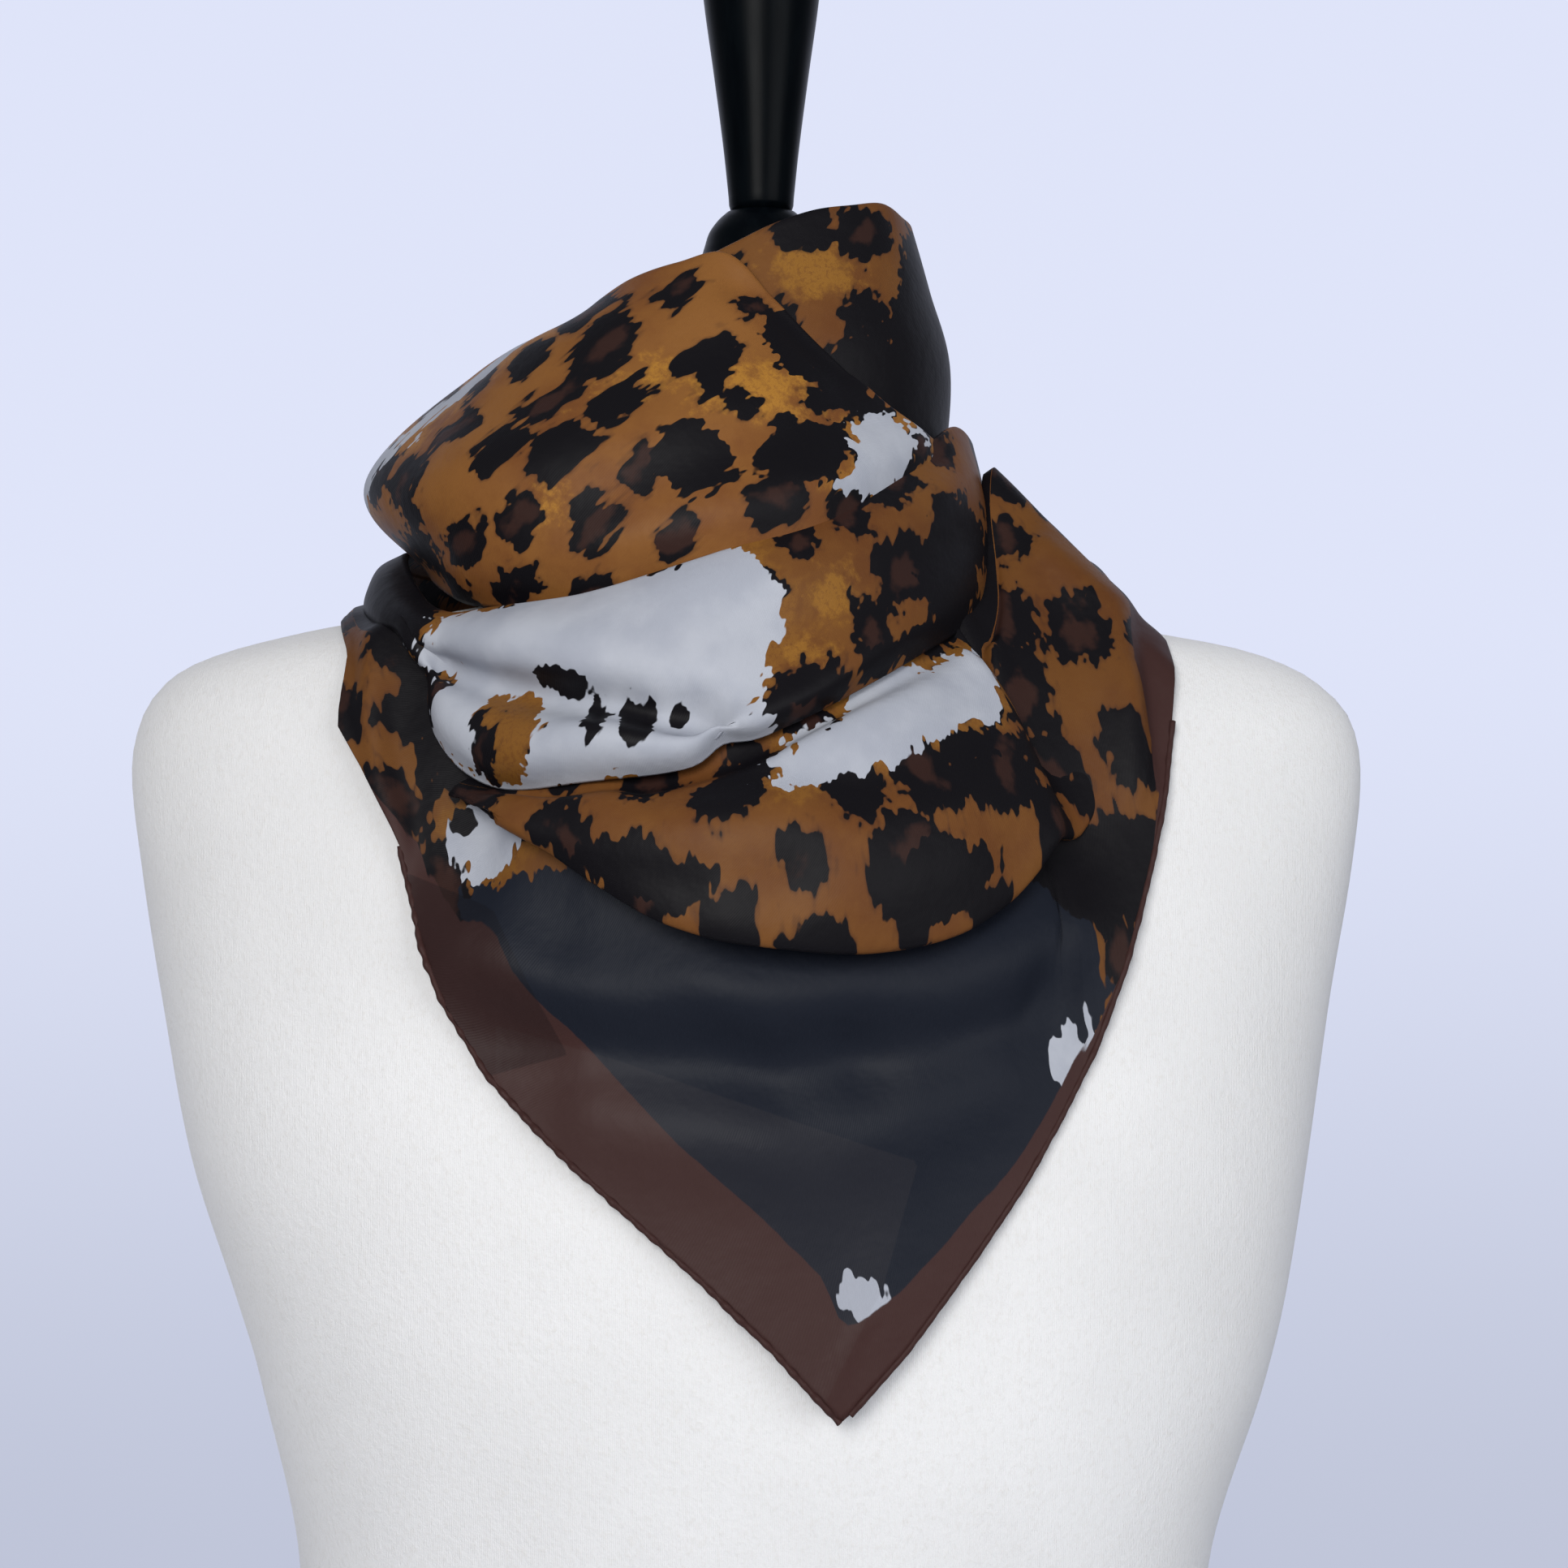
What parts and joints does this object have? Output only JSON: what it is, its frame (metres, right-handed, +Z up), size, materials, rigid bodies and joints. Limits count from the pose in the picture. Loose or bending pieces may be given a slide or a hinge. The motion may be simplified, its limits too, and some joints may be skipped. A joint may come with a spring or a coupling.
{
  "type": "silk square scarf on a dress form",
  "caption": "Large silk square scarf folded to a triangle and wound round the neck of a padded limbless dress form with a turned neck cap and finial.",
  "frame": {"origin": "middle of the dress form's flat base, on the floor plane", "axes": "+Z up, -Y towards the viewer and out of the chest, +X to the viewer's right"},
  "size_m": [0.3915, 0.2436, 0.883],
  "materials": {
    "jersey": "matt cream knit over padding",
    "black_wood": "satin black lacquer on turned wood",
    "silk_print": "soft satin silk with an animal spot print",
    "silk_dark": "soft satin silk, blue black with print patches",
    "silk_border": "chocolate brown silk, hand rolled hem"
  },
  "bodies": {
    "root": {"torso": "jersey", "neck_cap": "black_wood", "finial": "black_wood", "inner_collar": "silk_dark", "upper_wrap": "silk_print", "middle_wrap": "silk_print", "front_cowl": "silk_print", "outer_drape": "silk_dark", "left_hem": "silk_border", "right_hem": "silk_border"}
  },
  "joints": []
}
